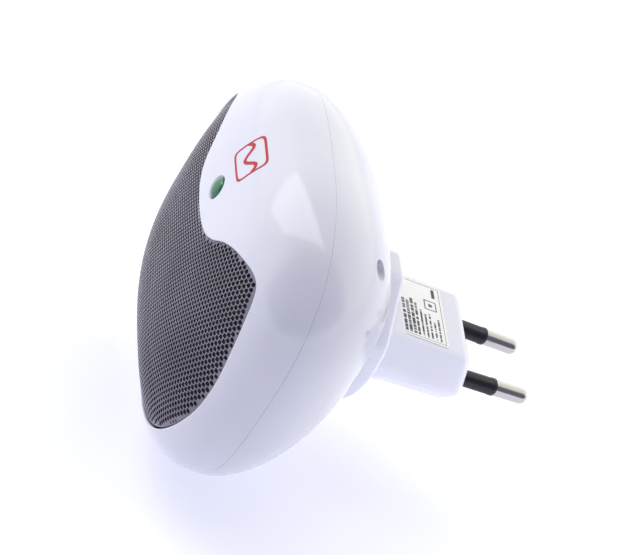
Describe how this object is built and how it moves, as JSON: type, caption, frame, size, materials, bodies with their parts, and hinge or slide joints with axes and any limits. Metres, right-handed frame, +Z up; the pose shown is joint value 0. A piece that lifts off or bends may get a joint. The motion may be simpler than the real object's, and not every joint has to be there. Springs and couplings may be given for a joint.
{
  "type": "plug-in ultrasonic pest repeller",
  "caption": "Rounded white wall-plug ultrasonic pest repeller with a dark perforated speaker grille, green indicator lens, round rear boss and flat two-pin plug",
  "frame": {"origin": "middle of the plug's end face, on the plug axis, between the two pins", "axes": "+X across the device, +Y toward the wall socket along the pins, +Z up as plugged in; the grille faces -Y"},
  "size_m": [0.0938, 0.0943, 0.0805],
  "materials": {
    "shell_white": "gloss",
    "grille_metal": "satin",
    "lens_green": "gloss",
    "mark_red": "printed",
    "label_paper": "satin",
    "sleeve_black": "satin",
    "pin_nickel": "polished nickel plate",
    "screw_steel": "zinc plated",
    "board_green": "solder resist",
    "resistor_blue": "lacquer",
    "film_yellow": "gloss",
    "can_black": "sleeve",
    "chip_black": "matt",
    "glass_orange": "gloss",
    "coil_copper": "enamelled copper wire",
    "tweeter_black": "matt",
    "cone_paper": "matt",
    "brass": "plain",
    "wire_red": "insulation",
    "wire_black": "insulation",
    "foam_grey": "foam",
    "cloth_black": "woven"
  },
  "bodies": {
    "root": {"front_cover": "shell_white", "rear_cover": "shell_white", "grille": "grille_metal", "led_lens": "lens_green", "printed_mark": "mark_red", "plug_housing": "shell_white", "plug_retainer": "tweeter_black", "rating_label": "label_paper", "plug_pin_left": "pin_nickel", "plug_pin_right": "pin_nickel", "pin_sleeve_left": "sleeve_black", "pin_sleeve_right": "sleeve_black", "contact_strap_left": "brass", "contact_strap_right": "brass", "cover_screw_left": "screw_steel", "cover_screw_right": "screw_steel", "board_screw_left": "screw_steel", "board_screw_right": "screw_steel", "circuit_board": "board_green", "dropper_capacitor": "film_yellow", "input_resistor": "resistor_blue", "smoothing_capacitor": "can_black", "rectifier": "chip_black", "zener_diode": "glass_orange", "drive_coil": "coil_copper", "oscillator_chip": "chip_black", "indicator_led": "lens_green", "transducer_body": "tweeter_black", "transducer_cone": "cone_paper", "piezo_disc": "brass", "speaker_gasket": "foam_grey", "grille_cloth": "cloth_black", "speaker_wire_red": "wire_red", "speaker_wire_black": "wire_black"}
  },
  "joints": []
}
